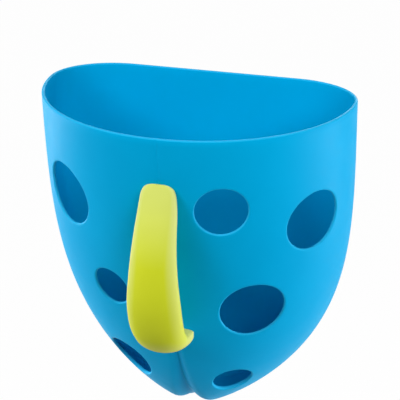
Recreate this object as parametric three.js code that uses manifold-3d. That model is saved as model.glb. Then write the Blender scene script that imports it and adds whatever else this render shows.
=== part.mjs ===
// Bath toy organizer: a scoop-shaped bin that hangs on a wall bracket held by two suction cups.
// Millimetres, +Z up. The wall is the plane y = 0, the room is towards -Y,
// and the origin lies on the wall at the middle of the bracket.
import * as THREE from 'three';
import { mergeVertices } from 'three/addons/utils/BufferGeometryUtils.js';
import Module from 'manifold-3d';

// Clearance between pieces that touch.
const FIT_GAP = 0.3;

// Bin: an open moulded shell with a flat back and two front lobes that meet in a crease.
const BIN_WIDTH = 252;
const BIN_FRONT = 119; // from the widest line to the front of the rim
const BIN_BACK = 46; // from the widest line to the flat back
const BIN_HEIGHT = 283;
const BIN_WALL = 2.6;
const BIN_FLOOR = 4;
const BACK_FLAT_WIDTH = 140; // flat stretch of the back at the rim
const BACK_ROLL_HEIGHT = 71; // lowest stretch, where the back rolls forward
const KEEL_FROM_BACK = 11.5; // the lowest point lies this far ahead of the back
const RIM_ABOVE_BRACKET = 45;
const SIDE_POWER = 3.56; // how late the sides start to draw in
const SIDE_ROOT = 1.46; // how pointed the bin is from the front
const FRONT_ROOT = 3.18; // how full the belly is from the side
const WIDEST_POWER = 1.43; // how late the widest line runs back to the keel

// Crease down the middle of the front.
const CREASE_DEPTH_RIM = 0.4;
const CREASE_DEPTH_BOTTOM = 12;
const CREASE_HALF_RIM = 3;
const CREASE_HALF_BOTTOM = 20;
const CREASE_GROWTH = 4; // how late the crease opens towards the bottom
const CREASE_SHARPNESS = 2; // 1 is a plain V, more is two rounded lobes
const CREASE_SHARE = 0.8; // most of the half width that the crease takes near the keel

// Round holes: degrees from the front middle, positive to +X, and drop below the rim.
const HOLES = [
  { angle: -43.6, drop: 69.7, diameter: 51.7 },
  { angle: -25.6, drop: 144.3, diameter: 33.2 },
  { angle: -34, drop: 224.5, diameter: 41.6 },
  { angle: 21.1, drop: 60.8, diameter: 40.7 },
  { angle: 58.2, drop: 79.7, diameter: 50 },
  { angle: 32.9, drop: 154.9, diameter: 52 },
  { angle: 31.3, drop: 234.8, diameter: 32 },
];

// Handle: a crowned strip that leaves the wall, bows out and ends in a foot whose toe points at the bin.
// Stations of its edge line: drop below the rim, reach of the line ahead of the bin's front, width,
// and height of the rounded outer side and of the flatter inner side over the line.
const HANDLE_TOP = { drop: 38, reach: -0.5, width: 25.5, outer: 2.5, inner: 2.5 };
const HANDLE_ROOT = { drop: 50, reach: 1.5, width: 28.5, outer: 5, inner: 6 };
const HANDLE_STEM = { drop: 60, reach: 8.3, width: 30.5, outer: 5.8, inner: 9.5 };
const HANDLE_NECK = { drop: 72, reach: 16.9, width: 32.5, outer: 6.5, inner: 7 };
const HANDLE_SHANK = { drop: 90, reach: 26.2, width: 35.5, outer: 7.5, inner: 3.5 };
const HANDLE_GRIP = { drop: 110, reach: 33, width: 39, outer: 8.2, inner: 2.2 };
const HANDLE_BOW = { drop: 130, reach: 36.8, width: 42.5, outer: 9.2, inner: 2.2 };
const HANDLE_ANKLE = { drop: 148, reach: 36.8, width: 43, outer: 9.7, inner: 4 };
const HANDLE_HEEL = { drop: 160.5, reach: 32.5, width: 42, outer: 10.5, inner: 6.2 };
const HANDLE_SOLE = { drop: 169.5, reach: 24.4, width: 41, outer: 10.5, inner: 7 };
const HANDLE_TOE = { drop: 170, reach: 7.4, width: 42, outer: 7.5, inner: 2.5 };
const HANDLE_TOP_ROUND = 13; // rounding of the two ends, along the line
const HANDLE_TOE_ROUND = 4;
const HANDLE_OUTER_POWER = 2.2; // roundness of the section: 2 is an ellipse, more is squarer
const HANDLE_INNER_POWER = 3;
const HANDLE_TOP_POWER = 2.6; // roundness of the two ends
const HANDLE_TOE_POWER = 2;
const HANDLE_END_MARGIN = 0.3; // from each end of the line to its first section

// Handle fastening: two screws from inside the bin into bosses on the handle, each under a cap.
const SCREW_DROPS = { upper: 45.5, lower: 60.5 };
const BOSS_DIAMETER = 7;
const BOSS_RISE = 1.7; // boss root above the bin's skin, inside the handle
const PAD_DIAMETER = 16;
const PAD_HEIGHT = 1.4;
const SCREW_DIAMETER = 3.5;
const SCREW_LENGTH = 6;
const SCREW_HEAD_DIAMETER = 11;
const SCREW_HEAD_HEIGHT = 2.8;
const SCREW_RECESS_DIAMETER = 4.4;
const SCREW_RECESS_DEPTH = 1.6;
const SCREW_CROWN_DIAMETER = 7.7;
const SCREW_CROWN_DROP = 0.6; // below the top of the head
const SCREW_RIM_HEIGHT = 1;
const CAP_WALL = 1.3;
const CAP_CROWN_DIAMETER = 10.6;
const CAP_CROWN_DROP = 0.5; // below the top of the cap
const CAP_EDGE_DROP = 1.8;

// Suction cups, pressed to the wall.
const CUP_SPACING = 104;
const CUP_DIAMETER = 52;
const CUP_HEIGHT = 6;
const CUP_LIP_WIDTH = 4;
const CUP_LIP_THICKNESS = 0.9;
const CUP_HOLLOW = 1.5;
const CUP_HOLLOW_EDGE = 1;
const CUP_FLANK_HEIGHT = 3.3; // halfway from the lip to the collar
const CUP_COLLAR_DIAMETER = 20;
const CUP_COLLAR_EDGE = 1;
const CUP_NECK_DIAMETER = 9;
const CUP_HEAD_DIAMETER = 15;
const CUP_HEAD_THICKNESS = 3.6;
const CUP_HEAD_EDGE = 1.5;

// Wall bracket: a plate with keyholes for the cups and an upright tongue for the bin.
const PLATE_WIDTH = 164;
const PLATE_HEIGHT = 60;
const PLATE_THICKNESS = 3;
const PLATE_CORNER = 16;
const KEYHOLE_DROP = 14;
const TONGUE_WIDTH = 74;
const TONGUE_HEIGHT = 26;
const TONGUE_THICKNESS = 3.6;
const TONGUE_CORNER = 8;
const TONGUE_GAP = 3; // between plate and tongue
const SHELF_HEIGHT = 8; // web that carries the tongue
const SHELF_TOP = -2;

// Hanger pocket on the bin's back, which drops over the tongue.
const POCKET_WALL = 2.5;
const POCKET_ROOT = 1; // how deep the pocket's walls are moulded into the back

// Rubber bumpers that keep the bin's lower back off the wall.
const BUMPER_SPACING = 90;
const BUMPER_DROP = 155;
const BUMPER_DIAMETER = 20;
const BUMPER_STEM_DIAMETER = 8;
const BUMPER_HEAD_DIAMETER = 12;
const BUMPER_HEAD_HEIGHT = 4;
const BUMPER_TIP_DIAMETER = 6.4;
const BUMPER_EDGE = 1.5;

// Fineness of the round and swept shapes.
const WELD = 1e-4; // points closer than this are one
const SLOPE_STEP = 1e-3;
const BIN_ROWS = 18;
const BIN_ROW_CROWDING = 1.8;
const LOBE_STEPS = 14;
const CREASE_STEPS = 3;
const CORNER_STEPS = 5;
const HOLE_SIDES = 28;
const SMALL_SIDES = 20;
const CUP_SIDES = 32;
const HANDLE_RINGS = 30;
const HANDLE_SIDES = 20;
const ARC_STEPS = 6;

// Heights and planes that follow from the sizes above.
const RIM_Z = RIM_ABOVE_BRACKET;
const PLATE_BACK = -(CUP_HEIGHT + FIT_GAP);
const PLATE_FRONT = PLATE_BACK - PLATE_THICKNESS;
const TONGUE_BACK = PLATE_FRONT - TONGUE_GAP;
const TONGUE_FRONT = TONGUE_BACK - TONGUE_THICKNESS;
const BIN_BACK_Y = TONGUE_FRONT - FIT_GAP;
const WIDEST_Y = BIN_BACK_Y - BIN_BACK;
const TONGUE_TOP = SHELF_TOP + TONGUE_HEIGHT;
const PAD_FACE = -(BIN_WALL + PAD_HEIGHT); // along a screw's axis, from the bin's outer skin
const SCREW_SEAT = PAD_FACE - FIT_GAP;
const CUT_OVER = 2 * BIN_WALL; // how far a cut runs past the wall
const HANDLE_STATIONS = [
  HANDLE_TOP,
  HANDLE_ROOT,
  HANDLE_STEM,
  HANDLE_NECK,
  HANDLE_SHANK,
  HANDLE_GRIP,
  HANDLE_BOW,
  HANDLE_ANKLE,
  HANDLE_HEEL,
  HANDLE_SOLE,
  HANDLE_TOE,
];

const wasm = await Module();
wasm.setup();

// Closed mesh to solid and back.
function solid(geometry) {
  const bare = new THREE.BufferGeometry();
  bare.setAttribute('position', geometry.getAttribute('position'));
  if (geometry.index) bare.setIndex(geometry.index);
  const merged = mergeVertices(bare, WELD);
  return new wasm.Manifold(new wasm.Mesh({
    numProp: 3,
    vertProperties: new Float32Array(merged.getAttribute('position').array),
    triVerts: new Uint32Array(merged.index.array),
  }));
}

function geometryOf(body) {
  const mesh = body.getMesh();
  const geometry = new THREE.BufferGeometry();
  geometry.setAttribute('position', new THREE.BufferAttribute(new Float32Array(mesh.vertProperties), 3));
  geometry.setIndex(new THREE.BufferAttribute(new Uint32Array(mesh.triVerts), 1));
  geometry.computeVertexNormals();
  return geometry;
}

// Rings of points to a closed skin, each end closed by a fan around its middle point.
// Rings run counter-clockwise seen from the start of the sweep.
function loft(rings, startPoint, endPoint) {
  const count = rings[0].length;
  const points = [...rings.flat(), startPoint, endPoint];
  const first = points.length - 2;
  const last = points.length - 1;
  const faces = [];
  for (let r = 0; r + 1 < rings.length; r += 1) {
    for (let k = 0; k < count; k += 1) {
      const a = r * count + k;
      const b = r * count + ((k + 1) % count);
      faces.push(a, a + count, b, b, a + count, b + count);
    }
  }
  const end = (rings.length - 1) * count;
  for (let k = 0; k < count; k += 1) {
    const next = (k + 1) % count;
    faces.push(first, k, next);
    faces.push(last, end + next, end + k);
  }
  const geometry = new THREE.BufferGeometry();
  geometry.setFromPoints(points);
  geometry.setIndex(faces);
  return geometry;
}

// Turned shape set on a line: its heights are measured from the base point along the axis.
function alongAxis(geometry, base, axis) {
  const turn = new THREE.Quaternion().setFromUnitVectors(new THREE.Vector3(0, 1, 0), axis);
  return geometry.applyQuaternion(turn).translate(base.x, base.y, base.z);
}

function rod(diameter, from, to, base, axis, sides) {
  const geometry = new THREE.CylinderGeometry(diameter / 2, diameter / 2, to - from, sides);
  geometry.translate(0, (from + to) / 2, 0);
  return alongAxis(geometry, base, axis);
}

function turned(profile, base, axis, sides) {
  const points = profile.map(([radius, height]) => new THREE.Vector2(radius, height));
  return alongAxis(new THREE.LatheGeometry(points, sides), base, axis);
}

function box(low, high) {
  const geometry = new THREE.BoxGeometry(high[0] - low[0], high[1] - low[1], high[2] - low[2]);
  return geometry.translate((low[0] + high[0]) / 2, (low[1] + high[1]) / 2, (low[2] + high[2]) / 2);
}

// Outline in x and z, extruded between two depths along y.
function slab(shape, back, front) {
  const options = { depth: back - front, bevelEnabled: false, curveSegments: ARC_STEPS };
  const geometry = new THREE.ExtrudeGeometry(shape, options);
  return geometry.rotateX(Math.PI / 2).translate(0, back, 0);
}

// Bin shape: level 0 is the rim and 1 the lowest point; grow moves the skin out or in.
function section(level, grow) {
  const deep = grow < 0 ? (grow * BIN_FLOOR) / BIN_WALL : grow;
  const height = BIN_HEIGHT + deep;
  const keel = BIN_BACK - KEEL_FROM_BACK;
  const half = (BIN_WIDTH / 2 + grow) * (1 - level ** SIDE_POWER) ** (1 / SIDE_ROOT);
  const front = keel - (BIN_FRONT + grow + keel) * (1 - level) ** (1 / FRONT_ROOT);
  const rollStart = 1 - BACK_ROLL_HEIGHT / BIN_HEIGHT;
  const roll = Math.max(0, (level - rollStart) / (1 - rollStart));
  const back = keel + (KEEL_FROM_BACK + grow) * Math.sqrt(1 - roll * roll);
  const widest = keel * level ** WIDEST_POWER;
  const flat = (half * BACK_FLAT_WIDTH) / BIN_WIDTH;
  return { height, half, front, back, widest, flat, z: RIM_Z - height * level };
}

function creaseAngle(level, half) {
  const width = CREASE_HALF_RIM + (CREASE_HALF_BOTTOM - CREASE_HALF_RIM) * level ** CREASE_GROWTH;
  return Math.asin(Math.min(CREASE_SHARE, width / half));
}

// Point on the front half, at an angle from the front middle.
function frontPoint(angle, level, grow) {
  const s = section(level, grow);
  const point = new THREE.Vector3(
    s.half * Math.sin(angle),
    WIDEST_Y + s.widest - (s.widest - s.front) * Math.cos(angle),
    s.z,
  );
  const reach = creaseAngle(level, s.half);
  const share = 1 - Math.abs(angle) / reach;
  if (share > 0) {
    const depth = CREASE_DEPTH_RIM + (CREASE_DEPTH_BOTTOM - CREASE_DEPTH_RIM) * level ** CREASE_GROWTH;
    const keel = BIN_BACK - KEEL_FROM_BACK;
    const rise = ((keel + BIN_FRONT + grow) / FRONT_ROOT) * (1 - level) ** (1 / FRONT_ROOT - 1);
    const inward = new THREE.Vector3(0, s.height, rise).normalize();
    point.addScaledVector(inward, depth * share ** CREASE_SHARPNESS);
  }
  return point;
}

function binRing(level, grow) {
  const s = section(level, grow);
  const crease = creaseAngle(level, s.half);
  const angles = [];
  for (let k = -CREASE_STEPS; k <= CREASE_STEPS; k += 1) angles.push((crease * k) / CREASE_STEPS);
  for (let k = 1; k <= LOBE_STEPS; k += 1) {
    const angle = crease + ((Math.PI / 2 - crease) * k) / LOBE_STEPS;
    angles.push(angle);
    angles.unshift(-angle);
  }
  const ring = angles.map((angle) => frontPoint(angle, level, grow));
  const corner = (k, side) => {
    const turn = (Math.PI / 2) * (k / CORNER_STEPS);
    const x = s.flat + (s.half - s.flat) * Math.cos(turn);
    const y = WIDEST_Y + s.widest + (s.back - s.widest) * Math.sin(turn);
    return new THREE.Vector3(side * x, y, s.z);
  };
  for (let k = 1; k <= CORNER_STEPS; k += 1) ring.push(corner(k, 1));
  for (let k = CORNER_STEPS; k >= 1; k -= 1) ring.push(corner(k, -1));
  return ring;
}

// Filled bin; rimRaise carries its straight top above the rim.
function binSolid(grow, rimRaise) {
  const rings = [];
  for (let r = 0; r < BIN_ROWS; r += 1) {
    rings.push(binRing(1 - (1 - r / BIN_ROWS) ** BIN_ROW_CROWDING, grow));
  }
  if (rimRaise > 0) rings.unshift(rings[0].map((p) => p.clone().setZ(RIM_Z + rimRaise)));
  const top = new THREE.Vector3(0, WIDEST_Y, RIM_Z + rimRaise);
  const keel = section(1, grow);
  const bottom = new THREE.Vector3(0, WIDEST_Y + keel.widest, keel.z);
  return solid(loft(rings, top, bottom));
}

// Outward direction of the bin's outer skin.
function frontNormal(angle, level) {
  const across = frontPoint(angle + SLOPE_STEP, level, 0).sub(frontPoint(angle - SLOPE_STEP, level, 0));
  const down = frontPoint(angle, level + SLOPE_STEP, 0).sub(frontPoint(angle, level - SLOPE_STEP, 0));
  return down.cross(across).normalize();
}

// Where a screw or boss meets the bin's outer skin, with its axis pointing out of the bin.
function screwSeat(drop) {
  const level = drop / BIN_HEIGHT;
  const besideCrease = creaseAngle(level, section(level, 0).half);
  const base = frontPoint(besideCrease, level, 0).setX(0);
  const axis = frontNormal(besideCrease, level).setX(0).normalize();
  return { base, axis };
}

function bumperBase(side) {
  return new THREE.Vector3((side * BUMPER_SPACING) / 2, 0, RIM_Z - BUMPER_DROP);
}

const INTO_BIN = new THREE.Vector3(0, -1, 0);

function scoopBody() {
  let body = binSolid(0, 0).subtract(binSolid(-BIN_WALL, CUT_OVER));
  const seats = Object.values(SCREW_DROPS).map(screwSeat);
  for (const { base, axis } of seats) {
    body = body.add(solid(rod(PAD_DIAMETER, PAD_FACE, -BIN_WALL / 2, base, axis, SMALL_SIDES)));
  }
  const bossBore = BOSS_DIAMETER + 2 * FIT_GAP;
  for (const { base, axis } of seats) {
    body = body.subtract(solid(rod(bossBore, PAD_FACE - CUT_OVER, CUT_OVER, base, axis, SMALL_SIDES)));
  }
  for (const { angle, drop, diameter } of HOLES) {
    const turn = THREE.MathUtils.degToRad(angle);
    const centre = frontPoint(turn, drop / BIN_HEIGHT, 0);
    const axis = frontNormal(turn, drop / BIN_HEIGHT);
    body = body.subtract(solid(rod(diameter, -diameter / 2, diameter / 2, centre, axis, HOLE_SIDES)));
  }
  const stemBore = BUMPER_STEM_DIAMETER + 2 * FIT_GAP;
  const [boreStart, boreEnd] = [-BIN_BACK_Y - CUT_OVER, -BIN_BACK_Y + CUT_OVER];
  for (const side of [-1, 1]) {
    const bore = rod(stemBore, boreStart, boreEnd, bumperBase(side), INTO_BIN, SMALL_SIDES);
    body = body.subtract(solid(bore));
  }
  return body.add(hangerPocket());
}

// Three walls and a skin that form a pocket open at the bottom.
function hangerPocket() {
  const inner = TONGUE_WIDTH / 2 + 2 * FIT_GAP;
  const outer = inner + POCKET_WALL;
  const roof = TONGUE_TOP + FIT_GAP;
  const bottom = SHELF_TOP + FIT_GAP;
  const skinFront = TONGUE_BACK + FIT_GAP;
  const skinBack = PLATE_FRONT - FIT_GAP;
  const walls = new THREE.Shape([
    new THREE.Vector2(-outer, bottom),
    new THREE.Vector2(-inner, bottom),
    new THREE.Vector2(-inner, roof),
    new THREE.Vector2(inner, roof),
    new THREE.Vector2(inner, bottom),
    new THREE.Vector2(outer, bottom),
    new THREE.Vector2(outer, roof + POCKET_WALL),
    new THREE.Vector2(-outer, roof + POCKET_WALL),
  ]);
  const overlap = (skinBack - skinFront) / 2;
  const frame = solid(slab(walls, skinFront + overlap, BIN_BACK_Y - POCKET_ROOT));
  const skin = solid(box([-outer, skinFront, bottom], [outer, skinBack, roof + POCKET_WALL]));
  return frame.add(skin);
}

// Edge line of the handle, from its top to the toe, and the section's sizes along it.
function handleCurves() {
  const frontAt = (drop) => WIDEST_Y + section(drop / BIN_HEIGHT, 0).front;
  const line = HANDLE_STATIONS.map(({ drop, reach }) => (
    new THREE.Vector3(0, frontAt(drop) - reach, RIM_Z - drop)
  ));
  const sizes = HANDLE_STATIONS.map(({ width, outer, inner }) => new THREE.Vector3(width, outer, inner));
  return [line, sizes].map((points) => new THREE.CatmullRomCurve3(points, false, 'catmullrom'));
}

// Quarter-round growth from 0 at an end to 1 one radius away from it.
function endRound(distance, radius, power) {
  const share = Math.min(1, distance / radius);
  return (1 - (1 - share) ** power) ** (1 / power);
}

function handle() {
  const [line, sizes] = handleCurves();
  const length = line.getLength();
  const span = length - 2 * HANDLE_END_MARGIN;
  const rings = [];
  for (let r = 0; r <= HANDLE_RINGS; r += 1) {
    const share = r / HANDLE_RINGS;
    const crowded = (THREE.MathUtils.smoothstep(share, 0, 1) + share) / 2;
    const along = HANDLE_END_MARGIN + span * crowded;
    const at = line.getUtoTmapping(along / length);
    const tangent = line.getTangent(at);
    const outward = new THREE.Vector3(0, tangent.z, -tangent.y);
    const [width, outer, inner] = sizes.getPoint(at).toArray();
    const topRound = endRound(along, HANDLE_TOP_ROUND, HANDLE_TOP_POWER);
    const toeRound = endRound(length - along, HANDLE_TOE_ROUND, HANDLE_TOE_POWER);
    const half = (width / 2) * topRound - HANDLE_TOE_ROUND * (1 - toeRound);
    rings.push(handleRing(line.getPoint(at), outward, half, outer * toeRound, inner * toeRound));
  }
  const middle = (ring) => {
    const sum = ring.reduce((total, point) => total.add(point), new THREE.Vector3());
    return sum.divideScalar(ring.length);
  };
  let body = solid(loft(rings, middle(rings[0]), middle(rings[HANDLE_RINGS])));
  body = body.subtract(binSolid(FIT_GAP, BIN_WALL));
  const seats = Object.values(SCREW_DROPS).map(screwSeat);
  for (const { base, axis } of seats) {
    body = body.add(solid(rod(BOSS_DIAMETER, PAD_FACE + FIT_GAP, BOSS_RISE, base, axis, SMALL_SIDES)));
  }
  const pilot = SCREW_DIAMETER + 2 * FIT_GAP;
  const pilotEnd = SCREW_SEAT + SCREW_LENGTH + FIT_GAP;
  for (const { base, axis } of seats) {
    body = body.subtract(solid(rod(pilot, PAD_FACE - CUT_OVER, pilotEnd, base, axis, SMALL_SIDES)));
  }
  return body;
}

// Section of the handle: a crowned outer side and a flatter inner side.
function handleRing(centre, outward, half, outerHeight, innerHeight) {
  const ring = [];
  for (let k = 0; k < HANDLE_SIDES; k += 1) {
    const turn = (-2 * Math.PI * k) / HANDLE_SIDES;
    const [cos, sin] = [Math.cos(turn), Math.sin(turn)];
    const power = 2 / (sin > 0 ? HANDLE_OUTER_POWER : HANDLE_INNER_POWER);
    const height = sin > 0 ? outerHeight : innerHeight;
    const x = half * Math.sign(cos) * Math.abs(cos) ** power;
    const lift = height * Math.sign(sin) * Math.abs(sin) ** power;
    ring.push(centre.clone().addScaledVector(outward, lift).setX(x));
  }
  return ring;
}

function handleScrew(drop) {
  const { base, axis } = screwSeat(drop);
  const head = SCREW_HEAD_DIAMETER / 2;
  const shank = SCREW_DIAMETER / 2;
  const recess = SCREW_RECESS_DIAMETER / 2;
  const top = SCREW_SEAT - SCREW_HEAD_HEIGHT;
  return turned([
    [0, top + SCREW_RECESS_DEPTH],
    [recess, top + SCREW_RECESS_DEPTH],
    [recess, top],
    [SCREW_CROWN_DIAMETER / 2, top + SCREW_CROWN_DROP],
    [head, SCREW_SEAT - SCREW_RIM_HEIGHT],
    [head, SCREW_SEAT],
    [shank, SCREW_SEAT],
    [shank, SCREW_SEAT + SCREW_LENGTH - shank],
    [0, SCREW_SEAT + SCREW_LENGTH],
  ], base, axis, SMALL_SIDES);
}

function screwCap(drop) {
  const { base, axis } = screwSeat(drop);
  const inner = SCREW_HEAD_DIAMETER / 2 + FIT_GAP;
  const outer = inner + CAP_WALL;
  const ceiling = SCREW_SEAT - SCREW_HEAD_HEIGHT - FIT_GAP;
  const top = ceiling - CAP_WALL;
  return turned([
    [0, top],
    [CAP_CROWN_DIAMETER / 2, top + CAP_CROWN_DROP],
    [outer, top + CAP_EDGE_DROP],
    [outer, SCREW_SEAT],
    [inner, SCREW_SEAT],
    [inner, ceiling],
    [0, ceiling],
  ], base, axis, SMALL_SIDES);
}

function suctionCup(side) {
  const lip = CUP_DIAMETER / 2;
  const collar = CUP_COLLAR_DIAMETER / 2;
  const neck = CUP_NECK_DIAMETER / 2;
  const head = CUP_HEAD_DIAMETER / 2;
  const under = -PLATE_FRONT + FIT_GAP;
  const top = under + CUP_HEAD_THICKNESS;
  const base = new THREE.Vector3((side * CUP_SPACING) / 2, 0, 0);
  return turned([
    [0, CUP_HOLLOW],
    [lip - 2 * CUP_LIP_WIDTH, CUP_HOLLOW_EDGE],
    [lip - CUP_LIP_WIDTH, 0],
    [lip, 0],
    [lip, CUP_LIP_THICKNESS],
    [(lip + collar) / 2, CUP_FLANK_HEIGHT],
    [collar, CUP_HEIGHT - CUP_COLLAR_EDGE],
    [collar - CUP_COLLAR_EDGE, CUP_HEIGHT],
    [neck, CUP_HEIGHT],
    [neck, under],
    [head, under],
    [head, top - CUP_HEAD_EDGE],
    [head - CUP_HEAD_EDGE, top],
    [0, top],
  ], base, INTO_BIN, CUP_SIDES);
}

function roundedRectangle(left, bottom, right, top, lowRadius, highRadius) {
  const shape = new THREE.Shape();
  shape.moveTo(left + lowRadius, bottom);
  shape.lineTo(right - lowRadius, bottom);
  if (lowRadius > 0) shape.absarc(right - lowRadius, bottom + lowRadius, lowRadius, -Math.PI / 2, 0);
  shape.lineTo(right, top - highRadius);
  shape.absarc(right - highRadius, top - highRadius, highRadius, 0, Math.PI / 2);
  shape.lineTo(left + highRadius, top);
  shape.absarc(left + highRadius, top - highRadius, highRadius, Math.PI / 2, Math.PI);
  shape.lineTo(left, bottom + lowRadius);
  if (lowRadius > 0) shape.absarc(left + lowRadius, bottom + lowRadius, lowRadius, Math.PI, Math.PI * 1.5);
  return shape;
}

// Keyhole: the head enters the wide lower end and the neck rests at the top of the slot.
function keyhole(side) {
  const x = (side * CUP_SPACING) / 2;
  const slot = CUP_NECK_DIAMETER / 2 + FIT_GAP;
  const entry = CUP_HEAD_DIAMETER / 2 + 2 * FIT_GAP;
  const meet = Math.asin(slot / entry);
  const hole = new THREE.Path();
  hole.moveTo(x + slot, 0);
  hole.absarc(x, 0, slot, 0, Math.PI);
  hole.lineTo(x - slot, -KEYHOLE_DROP + entry * Math.cos(meet));
  hole.absarc(x, -KEYHOLE_DROP, entry, Math.PI / 2 + meet, Math.PI * 2.5 - meet);
  return hole;
}

function wallBracket() {
  const plate = roundedRectangle(
    -PLATE_WIDTH / 2,
    -PLATE_HEIGHT / 2,
    PLATE_WIDTH / 2,
    PLATE_HEIGHT / 2,
    PLATE_CORNER,
    PLATE_CORNER,
  );
  plate.holes.push(keyhole(-1), keyhole(1));
  const half = TONGUE_WIDTH / 2;
  const shelfBottom = SHELF_TOP - SHELF_HEIGHT;
  const tongue = roundedRectangle(-half, shelfBottom, half, TONGUE_TOP, 0, TONGUE_CORNER);
  return solid(slab(plate, PLATE_BACK, PLATE_FRONT))
    .add(solid(slab(tongue, TONGUE_BACK, TONGUE_FRONT)))
    .add(solid(box(
      [-half, TONGUE_BACK - TONGUE_THICKNESS / 2, shelfBottom],
      [half, PLATE_FRONT + PLATE_THICKNESS / 2, SHELF_TOP],
    )));
}

function wallBumper(side) {
  const radius = BUMPER_DIAMETER / 2;
  const stem = BUMPER_STEM_DIAMETER / 2;
  const head = BUMPER_HEAD_DIAMETER / 2;
  const flange = -BIN_BACK_Y - FIT_GAP;
  const under = -BIN_BACK_Y + BIN_WALL + FIT_GAP;
  return turned([
    [0, 0],
    [radius - BUMPER_EDGE, 0],
    [radius, BUMPER_EDGE],
    [radius, flange],
    [stem, flange],
    [stem, under],
    [head, under],
    [BUMPER_TIP_DIAMETER / 2, under + BUMPER_HEAD_HEIGHT],
    [0, under + BUMPER_HEAD_HEIGHT],
  ], bumperBase(side), INTO_BIN, SMALL_SIDES);
}

const BLUE = new THREE.MeshStandardMaterial({ color: 0x0498d0, roughness: 0.42, metalness: 0 });
const LIME = new THREE.MeshStandardMaterial({ color: 0xced73e, roughness: 0.45, metalness: 0 });
const CLEAR_RUBBER = new THREE.MeshStandardMaterial({ color: 0xd9dfe2, roughness: 0.3, metalness: 0 });
const WHITE_RUBBER = new THREE.MeshStandardMaterial({ color: 0xe9ebea, roughness: 0.7, metalness: 0 });
const STEEL = new THREE.MeshStandardMaterial({ color: 0xb9bcc0, roughness: 0.35, metalness: 1 });

const organizer = new THREE.Group();

function place(name, shape, material) {
  const geometry = shape.isBufferGeometry ? geometryOf(solid(shape)) : geometryOf(shape);
  const mesh = new THREE.Mesh(geometry, material);
  mesh.name = name;
  organizer.add(mesh);
}

place('wall_bracket', wallBracket(), BLUE);
place('scoop_body', scoopBody(), BLUE);
place('handle', handle(), LIME);
for (const [name, drop] of Object.entries(SCREW_DROPS)) {
  place(`handle_screw_${name}`, handleScrew(drop), STEEL);
  place(`screw_cap_${name}`, screwCap(drop), BLUE);
}
for (const [name, side] of [['left', -1], ['right', 1]]) {
  place(`suction_cup_${name}`, suctionCup(side), CLEAR_RUBBER);
  place(`wall_bumper_${name}`, wallBumper(side), WHITE_RUBBER);
}

export default organizer;
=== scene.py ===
"""Looks of the bath toy organizer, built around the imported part.

Sizes are in millimetres until a mesh is made; the stage, the lamps and the camera are in metres.
Angles round the bin start at its front middle, positive to the right.
A level runs from 0 at the rim to 1 at the bottom.
"""
import math

import bmesh
import bpy
import numpy as np
from mathutils import Matrix, Vector, geometry


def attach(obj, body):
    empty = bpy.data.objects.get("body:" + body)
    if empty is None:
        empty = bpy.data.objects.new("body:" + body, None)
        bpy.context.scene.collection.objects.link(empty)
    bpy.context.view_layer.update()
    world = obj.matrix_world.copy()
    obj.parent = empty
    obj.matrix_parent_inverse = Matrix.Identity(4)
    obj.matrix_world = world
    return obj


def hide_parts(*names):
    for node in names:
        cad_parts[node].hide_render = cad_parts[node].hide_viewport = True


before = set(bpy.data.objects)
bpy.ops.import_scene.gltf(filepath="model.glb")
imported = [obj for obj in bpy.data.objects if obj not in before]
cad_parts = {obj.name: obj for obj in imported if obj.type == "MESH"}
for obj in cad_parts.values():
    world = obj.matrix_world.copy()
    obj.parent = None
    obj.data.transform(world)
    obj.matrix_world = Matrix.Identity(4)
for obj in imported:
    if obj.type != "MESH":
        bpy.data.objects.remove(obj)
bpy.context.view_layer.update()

MM = 0.001

# Bin, as in the part's source.
BIN_WIDTH, BIN_FRONT, BIN_BACK, BIN_HEIGHT = 252.0, 119.0, 46.0, 283.0
BIN_WALL, BIN_FLOOR = 2.6, 4.0
BACK_FLAT_WIDTH, BACK_ROLL_HEIGHT = 140.0, 71.0
KEEL = 34.5
RIM_Z, WIDEST_Y, BIN_BACK_Y = 45.0, -62.2, -16.2
SIDE_POWER, SIDE_ROOT, FRONT_ROOT, WIDEST_POWER = 3.56, 1.46, 3.18, 1.43
CREASE_DEPTH = (0.4, 12.0)  # at the rim and at the bottom
CREASE_HALF = (3.0, 20.0)  # half its width, at the rim and at the bottom
CREASE_GROWTH, CREASE_SHARPNESS, CREASE_SHARE = 4.0, 2.0, 0.8
CREASE_FADE_HALF = 9.0  # the crease runs out where the bin gets narrower than this
HOLES = [  # angle in degrees, drop below the rim, diameter
    (-43.6, 69.7, 51.7),
    (-25.6, 144.3, 33.2),
    (-34.0, 224.5, 41.6),
    (21.1, 60.8, 40.7),
    (58.2, 79.7, 50.0),
    (32.9, 154.9, 52.0),
    (31.3, 234.8, 32.0),
]
FIT_GAP = 0.3
RIM_ROUND = BIN_WALL / 2

# Handle.
# Each station: drop below the rim, reach of the edge line ahead of the bin, width, outer and inner height.
HANDLE_STATIONS = [
    (38.0, -0.5, 25.5, 2.5, 2.5),
    (50.0, 4.4, 28.5, 4.8, 7.0),
    (60.0, 9.2, 30.5, 6.2, 9.5),
    (72.0, 15.9, 32.5, 7.6, 7.0),
    (90.0, 24.4, 35.5, 9.4, 3.5),
    (110.0, 31.0, 39.0, 10.3, 2.2),
    (130.0, 34.8, 42.5, 11.3, 2.2),
    (148.0, 34.8, 43.0, 11.8, 4.0),
    (160.5, 30.9, 42.0, 12.3, 5.2),
    (169.5, 23.6, 41.0, 11.4, 6.0),
    (170.0, 7.4, 42.0, 7.5, 3.2),
]
TOP_ROUND, TOE_ROUND = 12.0, 4.0
OUTER_POWER, INNER_POWER, TOP_POWER, TOE_POWER = 2.0, 3.0, 3.2, 2.0
TOE_SQUARE_POWER, TOE_SQUARE_LENGTH = 4.0, 17.0  # the section gets squarer towards the toe
EDGE_PALE_FROM, EDGE_PALE_TOE = 0.35, 0.35  # painted sheen: the lime is paler along the edges, less so at the toe
HEAD_PALE, HEAD_PALE_SHARE = 0.68, 0.62  # and, as a painted highlight, over its upper end
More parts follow.
